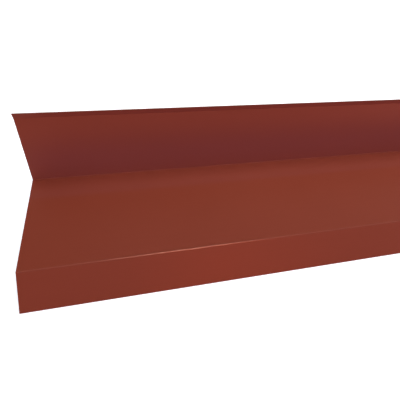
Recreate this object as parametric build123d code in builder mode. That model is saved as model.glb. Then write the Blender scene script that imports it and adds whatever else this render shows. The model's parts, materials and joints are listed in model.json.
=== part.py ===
from build123d import *
import os
from math import asin, atan2, degrees, radians, sin

os.makedirs("parts", exist_ok=True)

# Verge flashing: one strip of pre-painted steel sheet with three folds along its length.
# From back to front its section has a narrow lip, an upstand, a broad cover and a drip.
# The strip lies unheld on a level floor, on the fold under its upstand and on its drip's edge.
# +X runs along the strip, +Y from the drip to the upstand, and the origin is on the floor,
# under the middle of the strip.

# Sizes of the sheet, in millimetres
length = 2000.0
sheet_thickness = 0.5
fold_radius = 1.5  # on the inside of each fold

# Widths between the fold lines, along the middle of the sheet
lip_width = 9.0
upstand_width = 100.0
cover_width = 155.0
drip_width = 48.0

# Angles of the folds, in degrees
lip_turn = 20.0  # how far the lip leans out of the upstand's plane, towards the front
upstand_angle = 95.0  # between the upstand and the cover, on their upper side
drip_angle = 135.0  # between the cover and the drip, on their underside


def step(distance, direction):
    """A step in the section's plane, its direction in degrees, 0 to the back and 90 upwards."""
    return Vector(distance, 0).rotate(Axis.Z, direction)


# Fold lines of the section with its cover level, from the fold at the upstand's foot
upstand_direction = 180.0 - upstand_angle
drip_direction = -drip_angle
foot = Vector(0, 0)
head = foot + step(upstand_width, upstand_direction)
lip_edge = head + step(lip_width, upstand_direction + lip_turn)
nose = foot - Vector(cover_width, 0)
drip_edge = nose + step(drip_width, drip_direction)

middle_radius = fold_radius + sheet_thickness / 2
with BuildSketch() as section:
    with BuildLine():
        FilletPolyline(lip_edge, head, foot, nose, drip_edge, radius=middle_radius)
    trace(line_width=sheet_thickness)

# The floor touches the drip's under corner and the outside of the fold at the foot
outer_radius = fold_radius + sheet_thickness
foot_bisector = upstand_direction + upstand_angle / 2
foot_centre = foot + step(middle_radius / sin(radians(upstand_angle / 2)), foot_bisector)
under_corner = drip_edge + step(sheet_thickness / 2, drip_direction + 90.0)
rise = foot_centre - under_corner
rest_tilt = degrees(atan2(rise.Y, rise.X) - asin(outer_radius / rise.length))

# The section as it rests, stood on the floor with the middle of its width over the origin
resting_section = section.sketch.rotate(Axis.Z, -rest_tilt)
extent = resting_section.bounding_box()
left_end = Plane((-length / 2, -extent.center().X, -extent.min.Y), x_dir=(0, 1, 0), z_dir=(1, 0, 0))

with BuildPart() as verge_flashing:
    with BuildSketch(left_end):
        add(resting_section)
    extrude(amount=length)

verge_flashing.part.label = "verge_flashing"
export_step(verge_flashing.part, "parts/verge_flashing.step")
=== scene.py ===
import json
import math
from typing import NamedTuple

import bpy
from bpy.props import FloatProperty, FloatVectorProperty, PointerProperty
from bpy.types import NodeSocket, Operator, Panel, PropertyGroup
from mathutils import Matrix, Vector


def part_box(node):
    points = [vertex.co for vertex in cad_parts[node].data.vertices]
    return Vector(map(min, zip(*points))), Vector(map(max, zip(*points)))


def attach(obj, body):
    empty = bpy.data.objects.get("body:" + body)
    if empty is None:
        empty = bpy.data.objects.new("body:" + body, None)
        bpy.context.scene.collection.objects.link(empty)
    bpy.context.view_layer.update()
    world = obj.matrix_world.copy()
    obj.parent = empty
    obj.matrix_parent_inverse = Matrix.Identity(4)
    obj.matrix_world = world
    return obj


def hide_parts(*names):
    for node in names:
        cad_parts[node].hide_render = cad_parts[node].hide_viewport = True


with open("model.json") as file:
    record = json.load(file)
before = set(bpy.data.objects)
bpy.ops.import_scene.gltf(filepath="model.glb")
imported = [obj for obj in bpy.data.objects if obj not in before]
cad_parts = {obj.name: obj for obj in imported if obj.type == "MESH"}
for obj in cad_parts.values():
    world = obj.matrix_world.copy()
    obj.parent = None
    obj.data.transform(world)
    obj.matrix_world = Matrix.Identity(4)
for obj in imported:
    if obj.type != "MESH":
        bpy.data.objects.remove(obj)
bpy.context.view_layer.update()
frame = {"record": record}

bl_info = {
    "name": "Verge flashing",
    "version": (1, 0, 0),
    "blender": (4, 5, 0),
    "location": "3D View > Sidebar > Flashing",
    "description": "Folds a painted strip into a verge flashing and lays it on a studio floor",
    "category": "Object",
}

MM = 0.001
STRIP_NODE = "verge_flashing"


# Properties

class FlashingSizes(PropertyGroup):
    """The sheet and its folds, as in the part's source."""

    sheet_thickness: FloatProperty(
        name="Sheet thickness", description="Steel and both coats together",
        default=0.5 * MM, unit="LENGTH", precision=5)
    fold_radius: FloatProperty(
        name="Fold radius", description="Radius on the inside of every fold",
        default=1.5 * MM, unit="LENGTH", precision=5)
    lip_width: FloatProperty(
        name="Lip", description="From the lip's edge to its fold line",
        default=9.0 * MM, unit="LENGTH")
    upstand_width: FloatProperty(
        name="Upstand", description="From the lip's fold line to the fold line at the foot",
        default=100.0 * MM, unit="LENGTH")
    cover_width: FloatProperty(
        name="Cover", description="From the fold line at the foot to the one at the nose",
        default=155.0 * MM, unit="LENGTH")
    drip_width: FloatProperty(
        name="Drip", description="From the fold line at the nose to the drip's edge",
        default=48.0 * MM, unit="LENGTH")
    lip_turn: FloatProperty(
        name="Lip turn", description="How far the lip leans out of the upstand's plane",
        default=math.radians(20.0), subtype="ANGLE")
    upstand_angle: FloatProperty(
        name="Upstand angle", description="Between the upstand and the cover, on the painted side",
        default=math.radians(95.0), subtype="ANGLE")
    drip_angle: FloatProperty(
        name="Drip angle", description="Between the cover and the drip, on the underside",
        default=math.radians(135.0), subtype="ANGLE")
    belly: FloatProperty(
        name="Belly", description="How far the broad panels swell out of flat between their folds",
        default=0.25 * MM, unit="LENGTH", precision=5)


class FlashingFinish(PropertyGroup):
    """Colours and gloss of the coats, and the colour of the sheared edges."""

    face_colour: FloatVectorProperty(
        name="Face coat", description="Brown-red coil coating on the weather side",
        default=(0.224, 0.0402, 0.0205), size=3, subtype="COLOR", min=0.0, max=1.0)
    face_roughness: FloatProperty(
        name="Face roughness", description="Satin of the face coat on the flat panels",
        default=0.40, subtype="FACTOR", min=0.0, max=1.0)
    face_gloss: FloatProperty(
        name="Face gloss", description="Specular level of the face coat on the flat panels",
        default=0.05, subtype="FACTOR", min=0.0, max=1.0)
    nose_roughness: FloatProperty(
        name="Nose roughness",
        description="Satin of the face coat where the nose's fold has drawn it smooth",
        default=0.24, subtype="FACTOR", min=0.0, max=1.0)
    nose_gloss: FloatProperty(
        name="Nose gloss",
        description="Specular level of the face coat where the nose's fold has drawn it smooth",
        default=0.15, subtype="FACTOR", min=0.0, max=1.0)
    # The foot coat's colour is the face colour made darker: painted shade in the crease of the fold at
    # the upstand's foot
    foot_painted_shade_colour: FloatVectorProperty(
        name="Foot coat", description="Face coat where the foot's fold has pinched it",
        default=(0.206, 0.0370, 0.0189), size=3, subtype="COLOR", min=0.0, max=1.0)
    foot_roughness: FloatProperty(
        name="Foot roughness",
        description="Dullness of the face coat where the foot's fold has pinched it",
        default=0.85, subtype="FACTOR", min=0.0, max=1.0)
    back_colour: FloatVectorProperty(
        name="Backing coat", description="Grey backing coat on the underside",
        default=(0.36, 0.355, 0.33), size=3, subtype="COLOR", min=0.0, max=1.0)
    edge_colour: FloatVectorProperty(
        name="Sheared edge", description="Zinc and bare steel along the cut edges",
        default=(0.33, 0.32, 0.31), size=3, subtype="COLOR", min=0.0, max=1.0)


class FlashingStage(PropertyGroup):
    """Camera, and levels of the light."""

    camera_place: FloatVectorProperty(
        name="Camera", description="Where the lens stands",
        default=(-0.86902, -0.23738, 0.41677), size=3, subtype="TRANSLATION", unit="LENGTH")
    camera_aim: FloatVectorProperty(
        name="Aim", description="Point on the floor in the line of sight",
        default=(-0.75517, 0.04480, 0.0), size=3, subtype="TRANSLATION", unit="LENGTH")
    camera_roll: FloatProperty(
        name="Roll", description="How far the camera is turned about its line of sight",
        default=math.radians(12.83), subtype="ANGLE")
    focal_length: FloatProperty(
        name="Focal length", description="In millimetres, on a sensor 36 mm wide",
        default=29.62)
    lens_drop: FloatProperty(
        name="Lens drop",
        description="How far the picture's middle lies below the line of sight, as a share of its width",
        default=0.035)
    sky_level: FloatProperty(
        name="Sky", description="Brightness of the even light all round",
        default=0.53)
    batten_power: FloatProperty(
        name="Batten", description="Power of the long lamp over the strip",
        default=3.57, unit="POWER")
    window_power: FloatProperty(
        name="Window", description="Power of the wide cool light in front",
        default=9.1, unit="POWER")
    fill_power: FloatProperty(
        name="Fill", description="Power of the cool strip light in the fold at the upstand's foot",
        default=0.38, unit="POWER")
    card_power: FloatProperty(
        name="Card", description="Power of the warm card that shows as a sheen along the upstand's top",
        default=21.4, unit="POWER")
    pane_power: FloatProperty(
        name="Pane", description="Power of the warm pane that shows as a sheen on the drip",
        default=9.2, unit="POWER")
    spark_power: FloatProperty(
        name="Spark", description="Power of the lamp that shows as the nose's highlight",
        default=50.0, unit="POWER")


# Node trees

NODE_STEP = Vector((200.0, -320.0))
NODES_A_ROW = 16
MERGE_GAP = 0.01 * MM


def feed(tree, socket, value):
    """Links an output to a socket, or sets the socket to a plain value."""
    if isinstance(value, NodeSocket):
        tree.links.new(value, socket)
    else:
        socket.default_value = value


def node(tree, kind, inputs=None, **options):
    """A new node with its options set and its inputs fed, by name or by number."""
    row, column = divmod(len(tree.nodes), NODES_A_ROW)
    made = tree.nodes.new(kind)
    made.location = (NODE_STEP.x * column, NODE_STEP.y * row)
    for name, value in options.items():
        setattr(made, name, value)
    for key, value in (inputs or {}).items():
        feed(tree, made.inputs[key], value)
    return made


def calc(tree, operation, first, second=0.0, third=0.0):
    """The output of one math node."""
    return node(tree, "ShaderNodeMath", {0: first, 1: second, 2: third}, operation=operation).outputs[0]


def position(tree):
    """Each point's own place."""
    return node(tree, "GeometryNodeInputPosition").outputs[0]


def store(tree, geometry, name, value, kind, domain):
    """The geometry with a named attribute on it."""
    return node(tree, "GeometryNodeStoreNamedAttribute", {
        "Geometry": geometry, "Name": name, "Value": value}, data_type=kind, domain=domain).outputs[0]


def recall(tree, name, kind):
    """A named attribute read back."""
    return node(tree, "GeometryNodeInputNamedAttribute", {"Name": name}, data_type=kind).outputs[0]


def lifted(tree, geometry, height):
    """The geometry moved straight up."""
    offset = node(tree, "ShaderNodeCombineXYZ", {"Z": height}).outputs[0]
    return node(tree, "GeometryNodeSetPosition", {"Geometry": geometry, "Offset": offset}).outputs[0]


def joined(tree, pieces):
    """Pieces made one mesh, with the points that meet made one."""
    heap = node(tree, "GeometryNodeJoinGeometry")
    for piece in pieces:
        tree.links.new(piece, heap.inputs[0])
    return node(tree, "GeometryNodeMergeByDistance", {
        "Geometry": heap.outputs[0], "Distance": MERGE_GAP}).outputs[0]


def new_group(name, inputs):
    """An empty Geometry Nodes tree with named inputs, those inputs, and its output socket."""
    tree = bpy.data.node_groups.new(name, "GeometryNodeTree")
    tree.interface.new_socket("Geometry", in_out="OUTPUT", socket_type="NodeSocketGeometry")
    for label, kind in inputs.items():
        tree.interface.new_socket(label, in_out="INPUT", socket_type="NodeSocket" + kind)
    given = node(tree, "NodeGroupInput").outputs
    return tree, given, node(tree, "NodeGroupOutput").inputs[0]


# The strip

SWELLS_A_METRE = 3.1
SHARP_EDGE = math.radians(40.0)
SAME_NUMBER = 0.5  # whole numbers that lie closer than this are the same


class Band(NamedTuple):
    """One band of the blank, between two lines across it."""

    name: str
    start: float
    end: float

    FOLDED = ("nose", "foot", "head")
    FOLD_ROWS = 17
    FLAT_ROW = 12.0 * MM
    FEWEST_STEPS = 2
    BELLIES = {"drip": 0.3, "cover": 1.0, "upstand": 0.8}
    COATS = {"nose": 1, "foot": 2}

    @property
    def rows(self):
        """Points across the band."""
        if self.name in self.FOLDED:
            return self.FOLD_ROWS
        return 1 + max(self.FEWEST_STEPS, math.ceil((self.end - self.start) / self.FLAT_ROW))

    @property
    def belly(self):
        """Share of the full belly."""
        return self.BELLIES.get(self.name, 0.0)

    @property
    def coat(self):
        """Number of the coat on its face, where 0 is the plain one."""
        return self.COATS.get(self.name, 0)


class Fold(NamedTuple):
    """A fold of the blank: the line where it starts, and the side of the line that it turns."""

    turn: str
    line: float
    side: float


class Blank:
    """The flat sheet: lines across it, measured from the start of the fold at the upstand's foot."""

    MARGIN = 0.3 * MM  # flat edge that belongs to each folded band

    def __init__(self, sizes):
        self.radius = sizes.fold_radius + sizes.sheet_thickness / 2
        self.turns = {"Lip turn": sizes.lip_turn, "Foot turn": math.pi - sizes.upstand_angle,
                      "Nose turn": math.pi - sizes.drip_angle}
        lip_arc, foot_arc, nose_arc = (self.radius * turn for turn in self.turns.values())
        lip_cut, foot_cut, nose_cut = (self.radius * math.tan(turn / 2) for turn in self.turns.values())
        self.cover_flat = sizes.cover_width - foot_cut - nose_cut
        head_line = foot_arc + sizes.upstand_width - foot_cut - lip_cut
        lip_line = head_line + lip_arc
        nose_line = -self.cover_flat
        drip_line = nose_line - nose_arc
        lines = (
            drip_line - sizes.drip_width + nose_cut,
            drip_line - self.MARGIN, nose_line + self.MARGIN,
            -self.MARGIN, foot_arc + self.MARGIN,
            head_line - self.MARGIN, lip_line + self.MARGIN,
            lip_line + sizes.lip_width - lip_cut,
        )
        names = ("drip", "nose", "cover", "foot", "upstand", "head", "lip")
        self.bands = [Band(*band) for band in zip(names, lines, lines[1:])]
        # The outermost fold comes first
        self.folds = [Fold("Lip turn", head_line, 1.0), Fold("Foot turn", 0.0, 1.0),
                      Fold("Nose turn", nose_line, -1.0)]


def fold_group():
    """Folds a flat sheet round a radius along one line, rigidly carrying whatever lies beyond it.

    The sheet lies in XY. Side 1 folds what lies past the line towards +Y upwards, and side -1
    folds what lies past it towards -Y downwards.
    """
    tree, given, result = new_group("Fold along a line", {
        "Geometry": "Geometry", "Line": "Float", "Turn": "Float", "Radius": "Float", "Side": "Float"})
    line, turn, radius, side = (given[name] for name in ("Line", "Turn", "Radius", "Side"))
    place = node(tree, "ShaderNodeSeparateXYZ", {0: position(tree)}).outputs
    past = calc(tree, "MULTIPLY", calc(tree, "SUBTRACT", place["Y"], line), side)
    height = calc(tree, "MULTIPLY", place["Z"], side)
    arc = calc(tree, "MULTIPLY", radius, turn)
    in_fold = calc(tree, "MINIMUM", calc(tree, "MAXIMUM", past, 0.0), arc)
    beyond = calc(tree, "SUBTRACT", past, in_fold)
    angle = calc(tree, "DIVIDE", in_fold, radius)
    arm = calc(tree, "SUBTRACT", radius, height)
    sine = calc(tree, "SINE", angle)
    cosine = calc(tree, "COSINE", angle)
    across = calc(tree, "ADD",
                  calc(tree, "MULTIPLY", arm, sine), calc(tree, "MULTIPLY", beyond, cosine))
    sunk = calc(tree, "SUBTRACT",
                calc(tree, "MULTIPLY", arm, cosine), calc(tree, "MULTIPLY", beyond, sine))
    folded = node(tree, "ShaderNodeCombineXYZ", {
        "X": place["X"], "Y": calc(tree, "MULTIPLY_ADD", across, side, line),
        "Z": calc(tree, "MULTIPLY", calc(tree, "SUBTRACT", radius, sunk), side)}).outputs[0]
    moved = node(tree, "GeometryNodeSetPosition", {"Geometry": given["Geometry"], "Position": folded})
    tree.links.new(moved.outputs[0], result)
    return tree


def band_group():
    """One flat band of the blank, with its swelling noted on its points and its coat on its faces."""
    tree, given, result = new_group("Band of the blank", {
        "Length": "Float", "Start": "Float", "End": "Float", "Columns": "Int", "Rows": "Int",
        "Belly": "Float", "Coat": "Int"})
    start, end = given["Start"], given["End"]
    width = calc(tree, "SUBTRACT", end, start)
    grid = node(tree, "GeometryNodeMeshGrid", {
        "Size X": given["Length"], "Size Y": width,
        "Vertices X": given["Columns"], "Vertices Y": given["Rows"]}).outputs["Mesh"]
    middle = calc(tree, "MULTIPLY", calc(tree, "ADD", start, end), 0.5)
    offset = node(tree, "ShaderNodeCombineXYZ", {"Y": middle}).outputs[0]
    placed = node(tree, "GeometryNodeSetPosition", {"Geometry": grid, "Offset": offset}).outputs[0]
    across = node(tree, "ShaderNodeSeparateXYZ", {0: position(tree)}).outputs["Y"]
    share = calc(tree, "DIVIDE", calc(tree, "SUBTRACT", across, start), width)
    # The swelling starts level at the band's two lines and is full in its middle
    arch = calc(tree, "POWER", calc(tree, "SINE", calc(tree, "MULTIPLY", share, math.pi)), 2.0)
    swell = calc(tree, "MULTIPLY", arch, given["Belly"])
    noted = store(tree, placed, "swell", swell, "FLOAT", "POINT")
    tree.links.new(store(tree, noted, "coat", given["Coat"], "INT", "FACE"), result)
    return tree


def strip_tree(blank):
    """The whole strip: a blank of flat bands, given its thickness, folded three times and laid down."""
    tree, given, result = new_group("Folded strip", {
        "Length": "Float", "Thickness": "Float", "Radius": "Float",
        "Lip turn": "Float", "Foot turn": "Float", "Nose turn": "Float",
        "Belly": "Float", "Tilt": "Float", "Seat": "Vector", "Columns": "Int",
        "Face coat": "Material", "Nose coat": "Material", "Foot coat": "Material",
        "Backing coat": "Material", "Sheared edge": "Material"})

    # The flat blank, with a map over it in metres
    band_tree = band_group()
    bands = []
    for band in blank.bands:
        made = node(tree, "GeometryNodeGroup", node_tree=band_tree)
        for name, value in (("Length", given["Length"]), ("Start", band.start), ("End", band.end),
                            ("Columns", given["Columns"]), ("Rows", band.rows),
                            ("Belly", calc(tree, "MULTIPLY", given["Belly"], band.belly)),
                            ("Coat", band.coat)):
            feed(tree, made.inputs[name], value)
        bands.append(made.outputs[0])
    sheet = store(tree, joined(tree, bands), "Blank", position(tree), "FLOAT2", "CORNER")

    # Thickness: the underside is turned over, and the face is drawn up from a copy of it
    sunk = lifted(tree, sheet, calc(tree, "MULTIPLY", given["Thickness"], -0.5))
    under = node(tree, "GeometryNodeFlipFaces", {"Mesh": sunk}).outputs[0]
    lift = node(tree, "ShaderNodeCombineXYZ", {"Z": given["Thickness"]}).outputs[0]
    raised = node(tree, "GeometryNodeExtrudeMesh", {
        "Mesh": sunk, "Offset": lift, "Offset Scale": 1.0, "Individual": False}, mode="FACES").outputs
    marked = store(tree, raised["Mesh"], "painted", raised["Top"], "BOOLEAN", "FACE")
    marked = store(tree, marked, "sheared", raised["Side"], "BOOLEAN", "FACE")
    slab = joined(tree, (under, marked))

    # Slow swelling of the broad panels along the strip, out and in
    wave = node(tree, "ShaderNodeTexNoise", {
        "Vector": position(tree), "Scale": SWELLS_A_METRE, "Detail": 1.0,
    }, noise_dimensions="2D").outputs[0]
    bulge = calc(tree, "MULTIPLY_ADD", wave, 2.0, -1.0)
    shape = lifted(tree, slab, calc(tree, "MULTIPLY", recall(tree, "swell", "FLOAT"), bulge))

    # Folds
    fold_tree = fold_group()
    for fold in blank.folds:
        bend = node(tree, "GeometryNodeGroup", node_tree=fold_tree)
        for name, value in (("Geometry", shape), ("Line", fold.line), ("Turn", given[fold.turn]),
                            ("Radius", given["Radius"]), ("Side", fold.side)):
            feed(tree, bend.inputs[name], value)
        shape = bend.outputs[0]

    # The lie on the floor
    turned = node(tree, "ShaderNodeVectorRotate", {
        "Vector": position(tree), "Angle": given["Tilt"]}, rotation_type="X_AXIS").outputs[0]
    laid = node(tree, "GeometryNodeSetPosition", {
        "Geometry": shape, "Position": turned, "Offset": given["Seat"]}).outputs[0]

    # Round folds are smooth, and the sheared edges stay sharp
    smooth = node(tree, "GeometryNodeSetShadeSmooth", {
        "Geometry": laid, "Shade Smooth": True}, domain="FACE").outputs[0]
    angle = node(tree, "GeometryNodeInputMeshEdgeAngle").outputs["Unsigned Angle"]
    steep = calc(tree, "GREATER_THAN", angle, SHARP_EDGE)
    crisp = node(tree, "GeometryNodeSetShadeSmooth", {
        "Geometry": smooth, "Selection": steep, "Shade Smooth": False}, domain="EDGE").outputs[0]
    shape = node(tree, "GeometryNodeRealizeInstances", {"Geometry": crisp}).outputs[0]

    # Coats
    painted = recall(tree, "painted", "BOOLEAN")
    coat = recall(tree, "coat", "INT")
    choices = [("Backing coat", True), ("Sheared edge", recall(tree, "sheared", "BOOLEAN")),
               ("Face coat", painted)]
    for label, band in (("Nose coat", "nose"), ("Foot coat", "foot")):
        chosen = calc(tree, "COMPARE", coat, Band.COATS[band], SAME_NUMBER)
        choices.append((label, calc(tree, "MULTIPLY", painted, chosen)))
    for label, faces in choices:
        shape = node(tree, "GeometryNodeSetMaterial", {
            "Geometry": shape, "Selection": faces, "Material": given[label]}).outputs[0]
    tree.links.new(shape, result)
    return tree


def run_tree(name, tree, inputs):
    """A plain mesh object made by a Geometry Nodes tree with the given inputs."""
    piece = bpy.data.objects.new(name, bpy.data.meshes.new(name))
    bpy.context.scene.collection.objects.link(piece)
    modifier = piece.modifiers.new("Shape", "NODES")
    modifier.node_group = tree
    sockets = {item.name: item.identifier
               for item in tree.interface.items_tree if item.in_out == "INPUT"}
    for label, value in inputs.items():
        modifier[sockets[label]] = value
    depsgraph = bpy.context.evaluated_depsgraph_get()
    shaped = bpy.data.meshes.new_from_object(piece.evaluated_get(depsgraph), depsgraph=depsgraph)
    if not shaped.polygons:
        raise RuntimeError(f"the tree {tree.name} made no faces")
    piece.modifiers.remove(modifier)
    piece.data = shaped
    shaped.name = name
    return piece


# Materials

USUAL_NOISE = (0.3, 0.7)
STREAK_STRETCH = (0.03, 1.0, 1.0)


def new_material(name):
    """A material with a Principled shader, its tree and that shader's inputs."""
    material = bpy.data.materials.new(name)
    material.use_nodes = True
    return material, material.node_tree, material.node_tree.nodes["Principled BSDF"].inputs


def noise(tree, vector, scale, detail=2.0):
    """A noise value about 0.5."""
    return node(tree, "ShaderNodeTexNoise", {
        "Vector": vector, "Scale": scale, "Detail": detail}).outputs["Fac"]


def roller_streaks(tree, scale):
    """A noise drawn out along the strip, which follows the sheet round its folds."""
    blank_map = node(tree, "ShaderNodeUVMap", uv_map="Blank").outputs[0]
    along = node(tree, "ShaderNodeMapping", {"Vector": blank_map, "Scale": STREAK_STRETCH}).outputs[0]
    return noise(tree, along, scale)


def spread(tree, value, low, high):
    """A noise value stretched from its usual range to the given one."""
    usual_low, usual_high = USUAL_NOISE
    return node(tree, "ShaderNodeMapRange", {
        "Value": value, "From Min": usual_low, "From Max": usual_high,
        "To Min": low, "To Max": high}).outputs[0]


def mix_colours(tree, share, first, second):
    """One colour laid over another by a share."""
    mixed = node(tree, "ShaderNodeMix", {"Factor": share, 6: first, 7: second}, data_type="RGBA")
    return mixed.outputs[2]


def shade(colour, factor):
    """A colour made lighter or darker, with alpha."""
    return (*(min(1.0, channel * factor) for channel in colour), 1.0)


def face_coat(name, paint, roughness, gloss):
    """Satin coil coating: slow drifts of shade, faint roller streaks and a fine orange peel."""
    material, tree, shader = new_material(name)
    place = node(tree, "ShaderNodeTexCoord").outputs["Object"]
    drift = noise(tree, place, scale=7.0, detail=3.0)
    streak = roller_streaks(tree, scale=420.0)
    grain = noise(tree, place, scale=1500.0)
    streaked = spread(tree, streak, low=0.0, high=0.10)
    speckled = spread(tree, grain, low=0.0, high=0.07)
    colour = mix_colours(tree, drift, shade(paint, factor=0.95), shade(paint, factor=1.05))
    colour = mix_colours(tree, streaked, colour, shade(paint, factor=0.84))
    colour = mix_colours(tree, speckled, colour, shade(paint, factor=1.3))
    feed(tree, shader["Base Color"], colour)
    drifting = spread(tree, drift, low=-0.03, high=0.03)
    uneven = calc(tree, "ADD", drifting, spread(tree, streak, low=-0.02, high=0.02))
    feed(tree, shader["Roughness"], calc(tree, "ADD", uneven, roughness))
    streak_relief = calc(tree, "MULTIPLY", streak, 0.25)
    peel = calc(tree, "ADD", noise(tree, place, scale=700.0, detail=1.0), streak_relief)
    bump = node(tree, "ShaderNodeBump", {"Height": peel, "Strength": 0.10, "Distance": 0.1 * MM})
    feed(tree, shader["Normal"], bump.outputs[0])
    shader["Specular IOR Level"].default_value = gloss
    return material


def backing_coat(finish):
    """Thin grey backing coat with roller streaks and a little show-through of the zinc."""
    material, tree, shader = new_material("backing_coat")
    paint = finish.back_colour
    place = node(tree, "ShaderNodeTexCoord").outputs["Object"]
    drift = noise(tree, place, scale=9.0, detail=4.0)
    streak = roller_streaks(tree, scale=300.0)
    streaked = spread(tree, streak, low=0.0, high=0.25)
    colour = mix_colours(tree, drift, shade(paint, factor=0.93), shade(paint, factor=1.06))
    colour = mix_colours(tree, streaked, colour, shade(paint, factor=0.82))
    feed(tree, shader["Base Color"], colour)
    feed(tree, shader["Roughness"], spread(tree, streak, low=0.48, high=0.6))
    bump = node(tree, "ShaderNodeBump", {"Height": streak, "Strength": 0.08, "Distance": 0.1 * MM})
    feed(tree, shader["Normal"], bump.outputs[0])
    shader["Specular IOR Level"].default_value = 0.3
    return material


def sheared_edge(finish):
    """Cut steel with zinc drawn over it by the shear."""
    material, tree, shader = new_material("sheared_edge")
    metal = finish.edge_colour
    place = node(tree, "ShaderNodeTexCoord").outputs["Object"]
    patch = noise(tree, place, scale=260.0, detail=3.0)
    colour = mix_colours(tree, patch, shade(metal, factor=0.75), shade(metal, factor=1.2))
    feed(tree, shader["Base Color"], colour)
    feed(tree, shader["Roughness"], spread(tree, patch, low=0.38, high=0.55))
    shader["Metallic"].default_value = 0.8
    return material


def seen_rays(tree):
    """1 on rays that show the background: from the camera, mirrored, or through glass."""
    path = node(tree, "ShaderNodeLightPath").outputs
    either = calc(tree, "MAXIMUM", path["Is Camera Ray"], path["Is Glossy Ray"])
    return calc(tree, "MAXIMUM", either, path["Is Transmission Ray"])


def floor_paint():
    """Pale floor: warm to the light that falls on it, and near white, with its shadows, to the eye."""
    material = bpy.data.materials.new("studio_floor")
    material.use_nodes = True
    tree = material.node_tree
    tree.nodes.clear()
    paint = node(tree, "ShaderNodeBsdfDiffuse", {"Color": (0.86, 0.76, 0.62, 1.0)})
    shadow = node(tree, "ShaderNodeBsdfDiffuse", {"Color": (0.8, 0.8, 0.8, 1.0)})
    glow = node(tree, "ShaderNodeEmission", {"Color": (0.93, 0.95, 1.0, 1.0), "Strength": 0.64})
    seen = node(tree, "ShaderNodeAddShader", {0: shadow.outputs[0], 1: glow.outputs[0]})
    mixed = node(tree, "ShaderNodeMixShader", {
        0: seen_rays(tree), 1: paint.outputs[0], 2: seen.outputs[0]})
    out = node(tree, "ShaderNodeOutputMaterial")
    tree.links.new(mixed.outputs[0], out.inputs["Surface"])
    return material


# Operators

class FLASHING_OT_fold_strip(Operator):
    """Fold the strip, coat it and lay it where the solid part lies"""

    bl_idname = "flashing.fold_strip"
    bl_label = "Fold strip"

    COLUMN = 20.0 * MM

    def execute(self, context):
        sizes, finish = context.scene.flashing_sizes, context.scene.flashing_finish
        blank = Blank(sizes)
        low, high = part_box(STRIP_NODE)
        length = high.x - low.x
        tilt, seat = self.lie(sizes, blank)
        strip = run_tree("flashing_strip", strip_tree(blank), {
            "Length": length, "Thickness": sizes.sheet_thickness, "Radius": blank.radius, **blank.turns,
            "Belly": sizes.belly, "Tilt": tilt, "Seat": seat,
            "Columns": 1 + math.ceil(length / self.COLUMN), **self.coats(finish)})
        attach(strip, "root")
        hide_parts(STRIP_NODE)
        return {"FINISHED"}

    def coats(self, finish):
        """The strip's materials, by the names of the tree's inputs."""
        return {
            "Face coat": face_coat(
                "face_coat", finish.face_colour, finish.face_roughness, finish.face_gloss),
            "Nose coat": face_coat(
                "nose_coat", finish.face_colour, finish.nose_roughness, finish.nose_gloss),
            # In the foot's fold the coat is duller, and its darker colour is painted shade in the crease
            "Foot coat": face_coat(
                "foot_coat", finish.foot_painted_shade_colour, finish.foot_roughness, finish.face_gloss),
            "Backing coat": backing_coat(finish),
            "Sheared edge": sheared_edge(finish),
        }

    def lie(self, sizes, blank):
        """Tilt and place that lay the cover's underside on the part's own mount there."""
        mount = next(entry for entry in frame["record"]["mounts"] if entry["name"] == "cover_underside")
        tilt = math.atan2(mount["axis"][1], -mount["axis"][2])
        under_middle = Vector((0.0, -blank.cover_flat / 2, -sizes.sheet_thickness / 2))
        return tilt, Vector(mount["pos_m"]) - Matrix.Rotation(tilt, 3, "X") @ under_middle


class Lamp(NamedTuple):
    """A rectangular lamp that faces down, or is turned up towards the back."""

    place: tuple
    turn: float
    size: tuple
    colour: tuple


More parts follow.
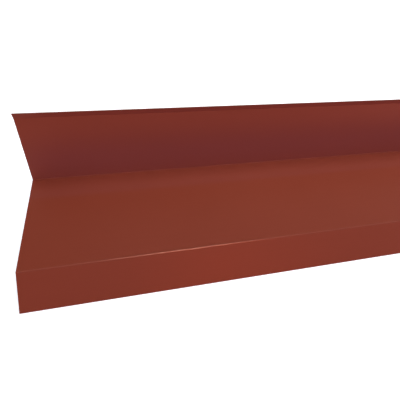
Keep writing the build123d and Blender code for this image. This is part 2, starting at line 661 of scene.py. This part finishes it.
class FLASHING_OT_set_stage(Operator):
    """Lay the floor, set the light and stand the camera"""

    bl_idname = "flashing.set_stage"
    bl_label = "Set stage"

    FLOOR_REACH = 80.0
    FLOOR_DROP = 0.2 * MM
    SKY_COLOUR = (1.0, 0.96, 0.87, 1.0)
    LAMPS = {
        "batten": Lamp((0.0, 0.182, 0.37), 0.0, (2.06, 0.13), (0.78, 0.92, 1.0)),
        "window": Lamp((0.0, -0.9, 0.75), math.radians(52.0), (3.4, 0.4), (0.79, 0.66, 1.0)),
        "fill": Lamp((0.0, 0.0356, 0.0246), math.radians(110.0), (2.06, 0.03), (0.0, 0.23, 1.0)),
        "card": Lamp((0.0, -0.21, 0.002), math.radians(180.0), (2.3, 0.14), (1.0, 0.21, 0.15)),
        "pane": Lamp((-0.48, -0.84, 0.64), math.radians(52.0), (0.5, 0.3), (1.0, 0.08, 0.0)),
        "spark": Lamp((-0.61, -0.07, 1.3), 0.0, (0.6, 0.12), (1.0, 0.5, 0.34)),
    }
    SHEENS = ("card", "pane", "spark")
    SENSOR_WIDTH = 36.0  # in millimetres

    def execute(self, context):
        scene, stage = context.scene, context.scene.flashing_stage
        scene.view_settings.view_transform = "Standard"
        self.lay_floor(scene)
        self.light_sky(scene, stage)
        self.hang_lamps(scene, stage)
        self.stand_camera(scene, stage)
        return {"FINISHED"}

    def lay_floor(self, scene):
        """A level floor, a hair under the strip."""
        reach = self.FLOOR_REACH
        outline = ((-reach, -reach), (reach, -reach), (reach, reach), (-reach, reach))
        mesh = bpy.data.meshes.new("studio_floor")
        mesh.from_pydata([(x, y, -self.FLOOR_DROP) for x, y in outline], [], [(0, 1, 2, 3)])
        mesh.materials.append(floor_paint())
        floor = bpy.data.objects.new("studio_floor", mesh)
        scene.collection.objects.link(floor)

    def light_sky(self, scene, stage):
        """Even light from all round, which is white to the eye."""
        world = bpy.data.worlds.new("studio_sky")
        world.use_nodes = True
        tree = world.node_tree
        tree.nodes.clear()
        light = node(tree, "ShaderNodeBackground", {
            "Color": self.SKY_COLOUR, "Strength": stage.sky_level})
        white = node(tree, "ShaderNodeBackground", {"Color": (1.0, 1.0, 1.0, 1.0), "Strength": 1.0})
        mixed = node(tree, "ShaderNodeMixShader", {
            0: seen_rays(tree), 1: light.outputs[0], 2: white.outputs[0]})
        out = node(tree, "ShaderNodeOutputWorld")
        tree.links.new(mixed.outputs[0], out.inputs["Surface"])
        scene.world = world

    def hang_lamps(self, scene, stage):
        """Lamps that light the strip and show no reflection, and sheens that it only mirrors."""
        for name, lamp in self.LAMPS.items():
            light = bpy.data.lights.new(name, "AREA")
            light.shape = "RECTANGLE"
            light.size, light.size_y = lamp.size
            light.energy = getattr(stage, name + "_power")
            light.color = lamp.colour
            hung = bpy.data.objects.new(name, light)
            hung.location = lamp.place
            hung.rotation_euler.x = lamp.turn
            hung.visible_camera = False
            hung.visible_diffuse = name not in self.SHEENS
            hung.visible_glossy = name in self.SHEENS
            scene.collection.objects.link(hung)

    def stand_camera(self, scene, stage):
        """The camera, aimed at its point on the floor and then rolled."""
        lens = bpy.data.cameras.new("camera")
        lens.sensor_width = self.SENSOR_WIDTH
        lens.lens = stage.focal_length
        lens.shift_y = -stage.lens_drop
        camera = bpy.data.objects.new("camera", lens)
        place = Vector(stage.camera_place)
        level = (Vector(stage.camera_aim) - place).to_track_quat("-Z", "Y").to_matrix()
        turned = level @ Matrix.Rotation(stage.camera_roll, 3, "Z")
        camera.matrix_world = Matrix.Translation(place) @ turned.to_4x4()
        scene.collection.objects.link(camera)
        scene.camera = camera


class FLASHING_PT_panel(Panel):
    """Sizes, finish and stage of the flashing"""

    bl_label = "Verge flashing"
    bl_space_type = "VIEW_3D"
    bl_region_type = "UI"
    bl_category = "Flashing"

    def draw(self, context):
        scene = context.scene
        column = self.layout.column()
        for group in (scene.flashing_sizes, scene.flashing_finish, scene.flashing_stage):
            for name in type(group).__annotations__:
                column.prop(group, name)
            column.separator()
        for operator in (FLASHING_OT_fold_strip, FLASHING_OT_set_stage):
            column.operator(operator.bl_idname)


CLASSES = (FlashingSizes, FlashingFinish, FlashingStage, FLASHING_OT_fold_strip, FLASHING_OT_set_stage,
           FLASHING_PT_panel)


def register():
    for entry in CLASSES:
        bpy.utils.register_class(entry)
    bpy.types.Scene.flashing_sizes = PointerProperty(type=FlashingSizes)
    bpy.types.Scene.flashing_finish = PointerProperty(type=FlashingFinish)
    bpy.types.Scene.flashing_stage = PointerProperty(type=FlashingStage)


def unregister():
    for name in ("flashing_sizes", "flashing_finish", "flashing_stage"):
        delattr(bpy.types.Scene, name)
    for entry in reversed(CLASSES):
        bpy.utils.unregister_class(entry)


def main():
    register()
    bpy.ops.flashing.fold_strip()
    bpy.ops.flashing.set_stage()


if __name__ == "__main__":
    main()
